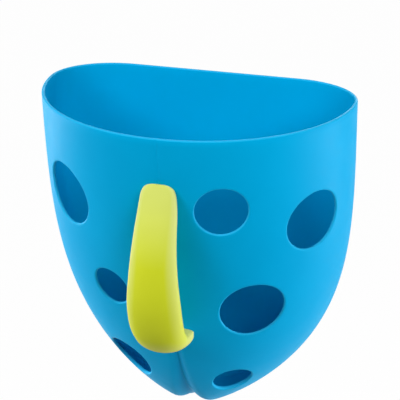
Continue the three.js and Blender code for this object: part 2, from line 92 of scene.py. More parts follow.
TOE_PALE, TOE_PALE_LENGTH = 1.0, 52.0  # and, as painted bounce light from below, towards the toe

# Handle's fastening. Heights run along the screw, from the bin's outer skin outwards.
SCREW_DROPS = {"upper": 45.5, "lower": 60.5}
BOSS_DIAMETER, BOSS_RISE, BOSS_EDGE = 7.0, 1.7, 0.3
PAD_DIAMETER, PAD_HEIGHT, PAD_EDGE = 16.0, 1.4, 0.4
PAD_FACE = -(BIN_WALL + PAD_HEIGHT)
SCREW_SEAT = PAD_FACE - FIT_GAP
SCREW_DIAMETER, SCREW_HEAD_DIAMETER, SCREW_HEAD_HEIGHT = 3.5, 11.0, 2.8
CAP_WALL, CAP_EDGE = 1.3, 1.2
CAP_CROWN_RADIUS, CAP_CROWN_DROP, CAP_SHOULDER_DROP = 5.3, 0.35, 1.6

# Wall side.
INTO_ROOM = (0.0, -1.0, 0.0)
SIDES = (("left", -1), ("right", 1))
CUP_SPACING, CUP_DIAMETER, CUP_HEIGHT = 104.0, 52.0, 6.0
CUP_HOLLOW, CUP_HOLLOW_EDGE, CUP_HOLLOW_INSET = 1.5, 1.0, 8.0
CUP_LIP_WIDTH, CUP_LIP_HEIGHT, CUP_BELLY = 4.0, 0.9, 3.3
CUP_COLLAR, CUP_SHOULDER, CUP_BEVEL, CUP_EDGE = 10.0, 5.0, 1.0, 0.8
CUP_NECK_DIAMETER, CUP_HEAD_DIAMETER, CUP_HEAD_THICKNESS, CUP_HEAD_BEVEL = 9.0, 15.0, 3.6, 1.5
PLATE_BACK, PLATE_FRONT, PLATE_EDGE = -6.3, -9.3, 0.7
PLATE_WIDTH, PLATE_HEIGHT, PLATE_CORNER, KEYHOLE_DROP = 164.0, 60.0, 16.0, 14.0
TONGUE_BACK, TONGUE_FRONT, TONGUE_EDGE = -12.3, -15.9, 0.8
TONGUE_WIDTH, TONGUE_TOP, TONGUE_CORNER = 74.0, 24.0, 8.0
SHELF_TOP, SHELF_BOTTOM, SHELF_EDGE = -2.0, -10.0, 0.5
SHELF_INTO_TONGUE, SHELF_INTO_PLATE = 1.8, 1.5
POCKET_WALL, POCKET_ROOT, POCKET_EDGE = 2.5, 1.0, 0.6
BUMPER_SPACING, BUMPER_DROP = 90.0, 155.0
BUMPER_DIAMETER, BUMPER_BEVEL, BUMPER_EDGE = 20.0, 1.5, 0.7
BUMPER_STEM, BUMPER_HEAD, BUMPER_HEAD_HEIGHT, BUMPER_TIP = 8.0, 12.0, 4.0, 6.4

# Fineness.
ROW_STEP = 4.6
CREASE_COLUMNS, LOBE_COLUMNS, BACK_COLUMNS = 16, 40, 64
CREASE_Q, CORNER_Q = 0.09, 0.7  # shares of the chart's width for half the crease and for a back corner
BACK_MIDDLE_Q, BUMPER_START_Q = 2.0, 0.2  # the back's middle, and how far from it a bumper's bore is sought
TINY = 1e-9  # keeps quotients and powers finite at the bottom
CHART_WIDTH, CHART_EPSILON = 190.0, 1e-6
TABLE_STEPS, TABLE_ANGLE = 4000, 0.8  # of the line down the skin that gives the chart its heights
HOLE_POINTS, HOLE_RINGS = 84, (0.0, 0.8, 2.2, 4.6)  # points in a ring, and each ring's distance from the lip
BORE_POINTS, BORE_RINGS = 28, (0.0, 1.0)
RING_CLEARANCE, BORE_REACH = 1.45, 12.0
LIP_STEPS = 8
POLE_MARGIN = 4.0
NEWTON_ROUNDS, NEWTON_STEP = 40, 1e-5
NEWTON_MOST_Q, NEWTON_MOST_LEVEL = 0.05, 0.03  # longest step of one round
STATION_STEPS, HANDLE_RINGS, HANDLE_SIDES = 60, 170, 80
END_CROWDING, END_GAP = 0.65, 0.001  # the handle's rings crowd towards its ends, and start just inside them
CUTTER_HALF, CUTTER_DROPS, CUTTER_DEPTH = 24.0, (20.0, 110.0), 30.0
CUTTER_COLUMNS, CUTTER_ROWS = 49, 91
CORNER_SHARE = 0.45  # most of a profile's side that the rounding of one corner takes
EDGE_SEGMENTS, FLAT_ANGLE = 3, 0.01
WELD, CUT_WELD = 1e-7, 2e-5  # metres
SMOOTH_LATHE, SMOOTH_CUT, SMOOTH_PLATE = 40.0, 45.0, 50.0  # edges sharper than this many degrees stay sharp

# Stage, lamps and camera, in metres.
FLOOR_HALF, FLOOR_Z, FLOOR_GREY, FLOOR_ROUGH = 8.0, -1.0, 0.6, 0.9
FLOOR_SEEN = 0.985  # share of plain white in what the camera and reflections see; the rest is the lit floor
SKY_SEEN, SKY_LIGHT = 0.99, 0.03  # strength for the camera and reflections, and as a light
LAMP_AIM = Vector((0.0, -0.1, -0.09))
SOFTBOXES = [  # name, azimuth, elevation, distance, width and height, watts
    ("softbox_upper_left", -42, 38, 1.8, (0.9, 0.9), 23.0),
    ("softbox_upper_right", 47, 38, 1.8, (0.9, 0.9), 26.0),
    ("softbox_left", -90, 12, 1.8, (0.9, 0.9), 8.0),
    ("softbox_low_left", -100, -9, 1.3, (1.0, 0.5), 12.0),
    ("softbox_low_right", 109, -17, 1.8, (1.0, 0.7), 26.0),
    ("softbox_back", 180, 25, 1.8, (0.9, 0.9), 16.0),
]
CAMERA_AZIMUTH, CAMERA_ELEVATION, CAMERA_DISTANCE = 16.0, 22.82, 1.3  # the photograph's angle
CAMERA_LENS, CAMERA_SENSOR, CAMERA_END = 147.2, 36.0, 50.0
CAMERA_AIM = Vector((0.0, -0.0562, RIM_Z * MM))
CAMERA_RIGHT, CAMERA_UP = -0.0018053, -0.0908049  # from the aim to the middle of the picture


def unit(v):
    """Vectors brought to length 1."""
    v = np.asarray(v, float)
    return v / np.linalg.norm(v, axis=-1, keepdims=True)


def smooth(t):
    """Soft step from 0 to 1."""
    t = np.clip(t, 0.0, 1.0)
    return t * t * (3.0 - 2.0 * t)


def section(level, grow):
    """Skin's height, and at a level its half width, front, back, widest line and half of its flat back."""
    deep = grow * BIN_FLOOR / BIN_WALL if grow < 0 else grow
    height = BIN_HEIGHT + deep
    half = (BIN_WIDTH / 2 + grow) * (1 - level**SIDE_POWER) ** (1 / SIDE_ROOT)
    front = KEEL - (BIN_FRONT + grow + KEEL) * (1 - level) ** (1 / FRONT_ROOT)
    start = 1 - BACK_ROLL_HEIGHT / BIN_HEIGHT
    roll = np.clip((level - start) / (1 - start), 0.0, 1.0)
    back = KEEL + (BIN_BACK - KEEL + grow) * np.sqrt(1 - roll**2)
    return height, half, front, back, KEEL * level**WIDEST_POWER, half * BACK_FLAT_WIDTH / BIN_WIDTH


def crease_angle(level, half):
    """Angle at which the crease ends, where the bin is so wide."""
    width = CREASE_HALF[0] + (CREASE_HALF[1] - CREASE_HALF[0]) * level**CREASE_GROWTH
    return np.arcsin(np.minimum(CREASE_SHARE, width / np.maximum(half, TINY)))


def front_skin(angle, level, grow):
    """Points on the front half of the bin."""
    height, half, front, _, widest, _ = section(level, grow)
    x = half * np.sin(angle)
    y = widest - (widest - front) * np.cos(angle)
    z = RIM_Z - height * level
    share = np.clip(1 - np.abs(angle) / crease_angle(level, half), 0.0, 1.0)
    depth = CREASE_DEPTH[0] + (CREASE_DEPTH[1] - CREASE_DEPTH[0]) * level**CREASE_GROWTH
    depth = depth * smooth(half / CREASE_FADE_HALF) * share**CREASE_SHARPNESS
    rise = (KEEL + BIN_FRONT + grow) / FRONT_ROOT * np.maximum(1 - level, TINY) ** (1 / FRONT_ROOT - 1)
    length = np.hypot(height, rise)
    return np.stack([x, WIDEST_Y + y + depth * height / length, z + depth * rise / length], axis=-1)


def skin_point(q, level, grow):
    """Points on the skin: q runs from -1 to 1 over the front, left to right, and on to 3 over the back."""
    q, level = np.broadcast_arrays(np.asarray(q, float), np.asarray(level, float))
    height, half, _, back, widest, flat = section(level, grow)
    crease = crease_angle(level, half)
    inside = np.abs(q) <= CREASE_Q
    lobe = crease + (math.pi / 2 - crease) * (np.abs(q) - CREASE_Q) / (1 - CREASE_Q)
    angle = np.where(inside, crease * q / CREASE_Q, np.sign(q) * lobe)
    front = front_skin(np.clip(angle, -math.pi / 2, math.pi / 2), level, grow)
    along = np.clip(q - 1, 0.0, 2.0)
    edge = np.minimum(along, 2 - along)
    turn = math.pi / 2 * np.clip(edge / CORNER_Q, 0.0, 1.0)
    side = np.where(along < 1, 1.0, -1.0)
    inner = 1 - np.clip((edge - CORNER_Q) / (1 - CORNER_Q), 0.0, 1.0)
    x = side * np.where(edge < CORNER_Q, flat + (half - flat) * np.cos(turn), flat * inner)
    y = WIDEST_Y + widest + (back - widest) * np.sin(turn)
    behind = np.stack([x, y, RIM_Z - height * level], axis=-1)
    return np.where((q > 1)[..., None], behind, front)


def skin_normal(angle, level):
    """Direction out of the bin on its outer front."""
    step = 1e-4
    across = front_skin(angle + step, level, 0) - front_skin(angle - step, level, 0)
    down = front_skin(angle, level + step, 0) - front_skin(angle, level - step, 0)
    return unit(np.cross(down, across))


def screw_seat(drop):
    """Screw's base in the middle plane, level with the skin beside the crease, and its axis outwards."""
    level = drop / BIN_HEIGHT
    angle = crease_angle(level, section(level, 0)[1])
    base = front_skin(angle, level, 0)
    axis = skin_normal(angle, level)
    return np.array([0.0, base[1], base[2]]), unit([0.0, axis[1], axis[2]])


def column_of(angle, level):
    """The chart's q at an angle."""
    crease = crease_angle(level, section(level, 0)[1])
    if abs(angle) < crease:
        return CREASE_Q * angle / crease
    return math.copysign(CREASE_Q + (1 - CREASE_Q) * (abs(angle) - crease) / (math.pi / 2 - crease), angle)


def ring_on_skin(centre, axis, radius, count, grow, start):
    """Chart positions where a cylinder round an axis meets the skin, found by Newton's method."""
    e1 = unit(np.cross(axis, [0.0, 0.0, 1.0]))
    e2 = np.cross(axis, e1)
    turn = 2 * math.pi * np.arange(count) / count
    target = radius * np.stack([np.cos(turn), np.sin(turn)], axis=-1)
    q, level = np.array(start[0], float) * np.ones(count), np.array(start[1], float) * np.ones(count)

    def flat(qq, ll):
        p = skin_point(qq, ll, grow) - centre
        return np.stack([p @ e1, p @ e2], axis=-1)

    step = NEWTON_STEP
    for _ in range(NEWTON_ROUNDS):
        miss = target - flat(q, level)
        dq = (flat(q + step, level) - flat(q - step, level)) / (2 * step)
        dl = (flat(q, level + step) - flat(q, level - step)) / (2 * step)
        det = dq[:, 0] * dl[:, 1] - dq[:, 1] * dl[:, 0]
        q_step = (miss[:, 0] * dl[:, 1] - miss[:, 1] * dl[:, 0]) / det
        level_step = (dq[:, 0] * miss[:, 1] - dq[:, 1] * miss[:, 0]) / det
        q = q + np.clip(q_step, -NEWTON_MOST_Q, NEWTON_MOST_Q)
        level = level + np.clip(level_step, -NEWTON_MOST_LEVEL, NEWTON_MOST_LEVEL)
    return q, level


def bores():
    """Every round hole through the wall: centre, axis, radius, points, chart start and the rings round it."""
    made = []
    for degrees, drop, diameter in HOLES:
        angle, level = math.radians(degrees), drop / BIN_HEIGHT
        centre, axis = front_skin(angle, level, 0), skin_normal(angle, level)
        made.append((centre, axis, diameter / 2, HOLE_POINTS, (column_of(angle, level), level), HOLE_RINGS))
    for drop in SCREW_DROPS.values():
        centre, axis = screw_seat(drop)
        radius = BOSS_DIAMETER / 2 + FIT_GAP
        made.append((centre, axis, radius, BORE_POINTS, (0.0, drop / BIN_HEIGHT), BORE_RINGS))
    for _, side in SIDES:
        centre = np.array([side * BUMPER_SPACING / 2, BIN_BACK_Y, RIM_Z - BUMPER_DROP])
        start = (BACK_MIDDLE_Q - side * BUMPER_START_Q, BUMPER_DROP / BIN_HEIGHT)
        radius = BUMPER_STEM / 2 + FIT_GAP
        made.append((centre, np.array([0.0, 1.0, 0.0]), radius, BORE_POINTS, start, BORE_RINGS))
    return made


def arc_table():
    """Levels and the length of the skin's line from the rim down to each."""
    level = 1 - (1 - np.linspace(0, 1, TABLE_STEPS)) ** 3
    line = front_skin(np.full(TABLE_STEPS, TABLE_ANGLE), level, 0)
    return level, np.concatenate([[0.0], np.cumsum(np.linalg.norm(np.diff(line, axis=0), axis=1))])


BORES = bores()
TABLE_LEVEL, TABLE_ARC = arc_table()


def chart(q, level):
    """Flat picture of the skin, for the triangles."""
    return np.stack([np.asarray(q) * CHART_WIDTH, np.interp(level, TABLE_LEVEL, TABLE_ARC)], axis=-1)


def skin_grid(grow):
    """Columns and levels of one skin's plain grid, and the skin's height."""
    height = section(0.0, grow)[0]
    rows = int(TABLE_ARC[-1] / ROW_STEP)
    top = np.interp(RIM_ROUND / height, TABLE_LEVEL, TABLE_ARC)
    levels = np.interp(np.linspace(top, TABLE_ARC[-1] - POLE_MARGIN, rows), TABLE_ARC, TABLE_LEVEL)
    levels[0] = RIM_ROUND / height
    crease = np.linspace(0, CREASE_Q, CREASE_COLUMNS // 2 + 1)[:-1]
    half = np.concatenate([crease, np.linspace(CREASE_Q, 1, LOBE_COLUMNS + 1)])
    back = 1 + 2 * np.arange(1, BACK_COLUMNS + 1) / BACK_COLUMNS
    return np.concatenate([-half[:0:-1], half, back]), levels, height


def clear_of_bores(points):
    """Which points lie clear of every bore and of the rings round it."""
    keep = np.ones(len(points), bool)
    for centre, axis, radius, _, _, rings in BORES:
        from_centre = points - centre
        along = from_centre @ axis
        away = np.linalg.norm(from_centre - along[:, None] * axis, axis=1)
        clear = away > radius + RIM_ROUND + rings[-1] * RING_CLEARANCE
        keep &= clear | (np.abs(along) > radius + BORE_REACH)
    return keep


def bore_rings(grow, first):
    """Chart positions of the rings round every bore, their edges, and each bore's innermost ring."""
    all_q, all_level, edges, loops = [], [], [], []
    for centre, axis, radius, count, start, rings in BORES:
        at = start
        for n, out in enumerate(rings):
            at = ring_on_skin(centre, axis, radius + RIM_ROUND + out, count, grow, at)
            all_q.append(at[0])
            all_level.append(at[1])
            ids = list(range(first, first + count))
            first += count
            edges += list(zip(ids, ids[1:] + ids[:1]))
            if n == 0:
                loops.append(ids)
    return np.concatenate(all_q), np.concatenate(all_level), edges, loops


def skin_mesh(grow):
    """One skin of the bin with its holes: points, triangles, the rim's indices and each hole's loop."""
    columns, levels, height = skin_grid(grow)
    q, level = [np.array(v).ravel() for v in np.meshgrid(columns, levels)]
    keep = clear_of_bores(skin_point(q, level, grow))
    keep[: len(columns)] = True
    q, level = q[keep], level[keep]
    last = np.flatnonzero(level == levels[-1]).tolist()
    ring_q, ring_level, edges, loops = bore_rings(grow, len(q))
    q, level = np.concatenate([q, ring_q]), np.concatenate([level, ring_level])
    made = geometry.delaunay_2d_cdt([Vector(p) for p in chart(q, level)], edges, [], 0, CHART_EPSILON)
    source = [ids[0] for ids in made[3]]
    inside = [set(ids) for ids in loops]
    triangles = [[source[v] for v in face] for face in made[2]]
    triangles = [tri for tri in triangles if not any(loop.issuperset(tri) for loop in inside)]
    points = np.vstack([skin_point(q, level, grow), [0.0, WIDEST_Y + KEEL, RIM_Z - height]])
    pole = len(points) - 1
    triangles += [[a, b, pole] for a, b in zip(last, last[1:])]
    return points, triangles, list(range(len(columns))), loops


def mesh_object(name, points, faces, smooth_angle=None, **attributes):
    """Mesh object from points in millimetres: welded, faces outwards, with values given to its points."""
    mesh = bpy.data.meshes.new(name)
    mesh.from_pydata([Vector(p) * MM for p in points], [], [list(f) for f in faces])
    for key, values in attributes.items():
        layer = mesh.attributes.new(key, "FLOAT", "POINT")
        layer.data.foreach_set("value", np.asarray(values, np.float32))
    work = bmesh.new()
    work.from_mesh(mesh)
    bmesh.ops.remove_doubles(work, verts=work.verts, dist=WELD)
    bmesh.ops.recalc_face_normals(work, faces=work.faces)
    work.to_mesh(mesh)
    work.free()
    mesh.shade_smooth()
    if smooth_angle is not None:
        mesh.set_sharp_from_angle(angle=math.radians(smooth_angle))
    made = bpy.data.objects.new(name, mesh)
    bpy.context.scene.collection.objects.link(made)
    return made


def evaluated_mesh(thing):
    """New mesh of an object with its modifiers or curve settings applied."""
    graph = bpy.context.evaluated_depsgraph_get()
    return bpy.data.meshes.new_from_object(thing.evaluated_get(graph))


def bands(rows, closed):
    """Quads between each row of point numbers and the next."""
    faces = []
    for low, high in zip(rows, rows[1:]):
        for k in range(len(low) if closed else len(low) - 1):
            n = (k + 1) % len(low)
            faces.append([low[k], low[n], high[n], high[k]])
    return faces


def bin_shell():
    """Outer and inner skin, joined by a rounded rim and by rounded lips round every hole, with painted
    highlight values over the rim and the lips.
    """
    outer, outer_faces, rim, loops = skin_mesh(0.0)
    inner, inner_faces, inner_rim, inner_loops = skin_mesh(-BIN_WALL)
    shift = len(outer)
    points = [*outer, *inner]
    # painted highlight: a value per point, 0 on both skins, that pales the blue over the rounded rim and hole
    # lips
    lip = [0.0] * len(points)
    faces = outer_faces + [[v + shift for v in f] for f in inner_faces]

    def strip(first, second, bulge, closed):
        rows = [first]
        a, b = np.array([points[k] for k in first]), np.array([points[k] for k in second])
        middle, arm = (a + b) / 2, (a - b) / 2
        for k in range(1, LIP_STEPS):
            turn = math.pi * k / LIP_STEPS
            rows.append(list(range(len(points), len(points) + len(first))))
            points.extend(middle + math.cos(turn) * arm + math.sin(turn) * bulge(middle))
            # painted highlight, strongest over the crown of the rounded lip
            lip.extend([math.sqrt(math.sin(turn))] * len(first))
        faces.extend(bands([*rows, second], closed))

    strip(rim, [v + shift for v in inner_rim], lambda m: np.array([0.0, 0.0, RIM_ROUND]), False)
    for (centre, axis, *_), loop, inner_loop in zip(BORES, loops, inner_loops):
        def towards_axis(m, centre=centre, axis=axis):
            away = m - centre
            away = away - (away @ axis)[:, None] * axis
            return -RIM_ROUND * unit(away)
        strip(loop, [v + shift for v in inner_loop], towards_axis, True)
    return mesh_object("scoop_shell", points, faces, lip=lip)


def lathe(name, profile, base, axis, sides=64):
    """Turned solid. The profile holds radius and height, and ends on the axis or is a closed loop."""
    base, axis = np.asarray(base, float), unit(axis)
    e1 = unit(np.cross(axis, [0.31, 0.17, 0.93]))  # any direction that no axis here has
    e2 = np.cross(axis, e1)
    points, faces = [], []
    turn = 2 * math.pi * np.arange(sides) / sides
    ring = np.cos(turn)[:, None] * e1 + np.sin(turn)[:, None] * e2
    for radius, high in profile:
        points.extend(base + high * axis + radius * ring)
    closed = profile[0][0] > 0
    count = len(profile)
    for k in range(count if closed else count - 1):
        low, high = k * sides, (k + 1) % count * sides
        for n in range(sides):
            m = (n + 1) % sides
            face = [low + n, low + m, high + m, high + n]
            if profile[k][0] == 0:
                face = [low, high + m, high + n]
            elif profile[(k + 1) % count][0] == 0:
                face = [low + n, low + m, high]
            faces.append(face)
    return mesh_object(name, points, faces, SMOOTH_LATHE)


def rounded(profile, radius, steps=4, closed=False):
    """Profile with its corners rounded, apart from the two ends of an open one."""
    made = []
    count = len(profile)
    for k, point in enumerate(profile):
        if not closed and k in (0, count - 1):
            made.append(tuple(point))
            continue
        p = np.array(point, float)
        a, b = np.array(profile[k - 1], float) - p, np.array(profile[(k + 1) % count], float) - p
        reach = min(radius, CORNER_SHARE * np.linalg.norm(a), CORNER_SHARE * np.linalg.norm(b))
        a, b = p + unit(a) * reach, p + unit(b) * reach
        for n in range(steps + 1):
            t = n / steps
            made.append(tuple((1 - t) ** 2 * a + 2 * t * (1 - t) * p + t**2 * b))
    return made


def catmull(points, steps):
    """Smooth curve through points, with as many steps from each point to the next."""
    points = np.asarray(points, float)
    ends = np.vstack([2 * points[0] - points[1], points, 2 * points[-1] - points[-2]])
    made = []
    for k in range(len(points) - 1):
        a, b, c, d = ends[k : k + 4]
        t = np.linspace(0, 1, steps, endpoint=False)[:, None]
        squared, cubed = 2 * a - 5 * b + 4 * c - d, 3 * b - 3 * c + d - a
        made.append(b + ((c - a) * t + squared * t**2 + cubed * t**3) / 2)
    return np.vstack([*made, points[-1:]])


def end_round(distance, radius, power):
    """Share of the full size at a distance from a rounded end."""
    share = np.clip(distance / radius, 0.0, 1.0)
    return (1 - (1 - share) ** power) ** (1 / power)


def handle_line():
    """Each ring's place and sizes, direction and distance along the handle, and the handle's length."""
    stations = np.array(HANDLE_STATIONS)
    front = WIDEST_Y + section(stations[:, 0] / BIN_HEIGHT, 0)[2]
    line = np.stack([0 * front, front - stations[:, 1], RIM_Z - stations[:, 0]], axis=-1)
    fine = catmull(np.hstack([line, stations[:, 2:]]), STATION_STEPS)
    arc_length = np.concatenate([[0.0], np.cumsum(np.linalg.norm(np.diff(fine[:, :3], axis=0), axis=1))])
    share = np.linspace(0, 1, HANDLE_RINGS)
    share = END_CROWDING * smooth(share) + (1 - END_CROWDING) * share
    along = arc_length[-1] * (END_GAP + (1 - 2 * END_GAP) * share)

    def at_rings(values):
        return np.stack([np.interp(along, arc_length, column) for column in values.T], axis=-1)

    return at_rings(fine), unit(at_rings(np.gradient(fine[:, :3], axis=0))), along, arc_length[-1]


def painted_handle_light(across, along, length):
    """How much painted light pales the lime at the handle's points, from 0 to 1: painted sheen along the
    edges, a painted highlight over the upper end and painted bounce light towards the toe.
    """
    edge = smooth((np.abs(across) - EDGE_PALE_FROM) / (1 - EDGE_PALE_FROM))
    tail = 1 - (1 - EDGE_PALE_TOE) * smooth(along / length)
    head = HEAD_PALE * (1 - smooth(along / (HEAD_PALE_SHARE * length)))
    toe = TOE_PALE * smooth((along - length + TOE_PALE_LENGTH) / TOE_PALE_LENGTH)
    return np.maximum(np.maximum(head, toe)[:, None], edge * tail[:, None])


def handle_piece():
    """Lime handle: crowned section swept along its edge line, cut to the bin's skin at its root."""
    at, tangent, along, length = handle_line()
    place, width, outer, inner = np.split(at, [3, 4, 5], axis=1)
    outward = np.stack([0 * along, tangent[:, 2], -tangent[:, 1]], axis=-1)
    toe = end_round(length - along, TOE_ROUND, TOE_POWER)
    half = width[:, 0] / 2 * end_round(along, TOP_ROUND, TOP_POWER) - TOE_ROUND * (1 - toe)
    turn = 2 * math.pi * np.arange(HANDLE_SIDES) / HANDLE_SIDES
    cos, sin = np.cos(turn), np.sin(turn)
    square = smooth((along - length + TOE_SQUARE_LENGTH) / TOE_SQUARE_LENGTH)[:, None]
    power = np.where(sin > 0, OUTER_POWER, INNER_POWER)
    power = 2 / (power + (TOE_SQUARE_POWER - power) * square)
    across = np.sign(cos) * np.abs(cos) ** power
    rise = np.sign(sin) * np.abs(sin) ** power
    height = np.where(sin > 0, outer, inner) * toe[:, None]
    rings = place[:, None] + (height * rise)[..., None] * outward[:, None]
    rings[..., 0] = half[:, None] * across
    points = list(rings.reshape(-1, 3))
    rows = np.arange(len(points)).reshape(HANDLE_RINGS, HANDLE_SIDES).tolist()
    faces = bands(rows, True)
    for end in (0, HANDLE_RINGS - 1):
        faces += [[a, b, len(points)] for a, b in zip(rows[end], rows[end][1:] + rows[end][:1])]
        points.append(rings[end].mean(axis=0))
    # painted light on the lime: sheen on the edges, highlight over the upper end, bounce light at the toe,
    # and the same at the two end caps
    lip = [*painted_handle_light(across, along, length).ravel(), HEAD_PALE, TOE_PALE]
    piece = mesh_object("handle_grip", points, faces, lip=lip)
    cut_to_skin(piece)
    return piece


def skin_cutter():
    """Block whose front is the bin's skin round the handle's root, with the fitting gap."""
    across = np.linspace(-CUTTER_HALF, CUTTER_HALF, CUTTER_COLUMNS)
    level = np.linspace(*CUTTER_DROPS, CUTTER_ROWS)[:, None] / BIN_HEIGHT * np.ones(CUTTER_COLUMNS)
    front = front_skin(np.arcsin(across / section(level, FIT_GAP)[1]), level, FIT_GAP).reshape(-1, 3)
    points = [*front, *(front + np.array([0.0, CUTTER_DEPTH, 0.0]))]
    rows = np.arange(len(front)).reshape(CUTTER_ROWS, CUTTER_COLUMNS)
    faces = bands(rows.tolist(), False)
    faces += [[v + len(front) for v in face] for face in faces]
    rim = [*rows[0], *rows[1:, -1], *rows[-1, -2::-1], *rows[-2:0:-1, 0]]
    rim = [int(v) for v in rim]
    faces += bands([rim, [v + len(front) for v in rim]], True)
    return mesh_object("cutter", points, faces)


def cut_to_skin(piece):
    """Takes away what lies inside the bin's skin."""
    cutter = skin_cutter()
    cut = piece.modifiers.new("cut", "BOOLEAN")
    cut.operation, cut.object, cut.solver = "DIFFERENCE", cutter, "EXACT"
    mesh = evaluated_mesh(piece)
    work = bmesh.new()
    work.from_mesh(mesh)
    bmesh.ops.remove_doubles(work, verts=work.verts, dist=CUT_WELD)
    bmesh.ops.dissolve_degenerate(work, edges=work.edges, dist=CUT_WELD)
    bmesh.ops.triangulate(work, faces=[f for f in work.faces if len(f.verts) > 4])
    work.to_mesh(mesh)
    work.free()
    piece.modifiers.clear()
    piece.data = mesh
    mesh.set_sharp_from_angle(angle=math.radians(SMOOTH_CUT))
    bpy.data.objects.remove(cutter)


def plate(name, outlines, back, front, edge):
    """Flat plate with rounded edges: outlines in x and z, between two depths along y."""
    curve = bpy.data.curves.new(name, "CURVE")
    curve.dimensions, curve.fill_mode = "2D", "BOTH"
    curve.extrude = ((back - front) / 2 - edge) * MM
    curve.bevel_depth, curve.bevel_resolution, curve.offset = edge * MM, EDGE_SEGMENTS, -edge * MM
    for outline in outlines:
        line = curve.splines.new("POLY")
        line.points.add(len(outline) - 1)
        for point, (x, z) in zip(line.points, outline):
            point.co = (x * MM, z * MM, 0, 1)
        line.use_cyclic_u = True
    holder = bpy.data.objects.new(name + "_outline", curve)
    bpy.context.scene.collection.objects.link(holder)
    mesh = evaluated_mesh(holder)
    bpy.data.objects.remove(holder)
    points = [(v.co.x / MM, (back + front) / 2 - v.co.z / MM, v.co.y / MM) for v in mesh.vertices]
    return mesh_object(name, points, [list(p.vertices) for p in mesh.polygons], SMOOTH_PLATE)


def arc(x, z, radius, start, end, steps=14):
    """Points on an arc round a middle, between two angles in degrees."""
    turn = np.radians(np.linspace(start, end, steps))
    return [(x + radius * math.cos(t), z + radius * math.sin(t)) for t in turn]


def rectangle(half, low, high, corner, low_corner):
    """Outline of a rectangle with its upper corners rounded, and its lower ones if asked."""
    middle = half - corner
    line = arc(middle, high - corner, corner, 0, 90) + arc(-middle, high - corner, corner, 90, 180)
    if not low_corner:
        return line + [(-half, low), (half, low)]
    line += arc(-middle, low + corner, corner, 180, 270)
    return line + arc(middle, low + corner, corner, 270, 360)


def keyhole(side):
    """Outline of the keyhole for a cup: a slot for its neck above a round entry for its head."""
    x, slot = side * CUP_SPACING / 2, CUP_NECK_DIAMETER / 2 + FIT_GAP
    entry = CUP_HEAD_DIAMETER / 2 + 2 * FIT_GAP
    meet = math.degrees(math.asin(slot / entry))
    return arc(x, 0, slot, 0, 180, steps=16) + arc(x, -KEYHOLE_DROP, entry, 90 + meet, 450 - meet, steps=32)


def block(name, xs, ys, zs, empty, edge):
    """Blocky solid from a grid of cells, some of them empty, with rounded edges."""
    cells = set(np.ndindex(len(xs) - 1, len(ys) - 1, len(zs) - 1)) - empty
    points, faces, known = [], [], {}

    def corner(i, j, k):
        if (i, j, k) not in known:
            known[i, j, k] = len(points)
            points.append((xs[i], ys[j], zs[k]))
        return known[i, j, k]

    for cell in sorted(cells):
        for axis in range(3):
            for side in (0, 1):
                beyond = list(cell)
                beyond[axis] += 2 * side - 1
                if tuple(beyond) in cells:
                    continue
                u, v = [n for n in range(3) if n != axis]
                quad = []
                for du, dv in ((0, 0), (1, 0), (1, 1), (0, 1)):
                    at = list(cell)
                    at[axis] += side
                    at[u] += du
                    at[v] += dv
                    quad.append(corner(*at))
                faces.append(quad)
    made = mesh_object(name, points, faces)
    work = bmesh.new()
    work.from_mesh(made.data)
    bmesh.ops.dissolve_limit(work, angle_limit=FLAT_ANGLE, verts=work.verts, edges=work.edges)
    work.to_mesh(made.data)
    work.free()
    bevel = made.modifiers.new("edges", "BEVEL")
    bevel.width, bevel.segments, bevel.limit_method = edge * MM, EDGE_SEGMENTS, "ANGLE"
    bevel.harden_normals = False
    mesh = evaluated_mesh(made)
    made.modifiers.clear()
    made.data = mesh
    mesh.shade_smooth()
    mesh.set_sharp_from_angle(angle=math.radians(SMOOTH_PLATE))
    return made


class Nodes:
    """Small helper that adds and links the nodes of one material. Noise scales are per metre."""

    def __init__(self, name):
        self.material = bpy.data.materials.new(name)
        self.material.use_nodes = True
        self.tree = self.material.node_tree
        self.shader = self.tree.nodes["Principled BSDF"]
        self.place = self.tree.nodes.new("ShaderNodeTexCoord").outputs["Object"]

    def link(self, start, end):
        self.tree.links.new(start, end)

    def feed(self, socket, start):
        self.link(start, self.shader.inputs[socket])

    def noise(self, scale, detail=3.0, rough=0.5, stretch=(1, 1, 1)):
        mapping = self.tree.nodes.new("ShaderNodeMapping")
        mapping.inputs["Scale"].default_value = stretch
        self.link(self.place, mapping.inputs["Vector"])
        node = self.tree.nodes.new("ShaderNodeTexNoise")
        node.inputs["Scale"].default_value = scale
        node.inputs["Detail"].default_value = detail
        node.inputs["Roughness"].default_value = rough
        self.link(mapping.outputs["Vector"], node.inputs["Vector"])
        return node.outputs["Fac"]

    def ramp(self, fac, start, end, low=0.3, high=0.7):
        """Start at the input's low value, end at its high one; noise mostly lies in the default span."""
        node = self.tree.nodes.new("ShaderNodeMapRange")
        for key, value in (("From Min", low), ("From Max", high), ("To Min", start), ("To Max", end)):
            node.inputs[key].default_value = value
        self.link(fac, node.inputs["Value"])
        return node.outputs["Result"]

    def mix(self, fac, a, b):
        node = self.tree.nodes.new("ShaderNodeMix")
        node.data_type = "RGBA"
        self.link(fac, node.inputs["Factor"])
        for key, value in (("A", a), ("B", b)):
            socket = next(s for s in node.inputs if s.name == key and s.type == "RGBA")
            if isinstance(value, bpy.types.NodeSocket):
                self.link(value, socket)
            else:
                socket.default_value = (*value, 1.0)
        return next(s for s in node.outputs if s.type == "RGBA")

    def attribute(self, name):
        node = self.tree.nodes.new("ShaderNodeAttribute")
        node.attribute_name = name
        return node.outputs["Fac"]

    def bump(self, height, distance, strength, below=None):
        node = self.tree.nodes.new("ShaderNodeBump")
        node.inputs["Distance"].default_value = distance
        node.inputs["Strength"].default_value = strength
        self.link(height, node.inputs["Height"])
        if below is not None:
            self.link(below, node.inputs["Normal"])
        return node.outputs["Normal"]

    def set(self, **values):
        for key, value in values.items():
            self.shader.inputs[key.replace("_", " ")].default_value = value


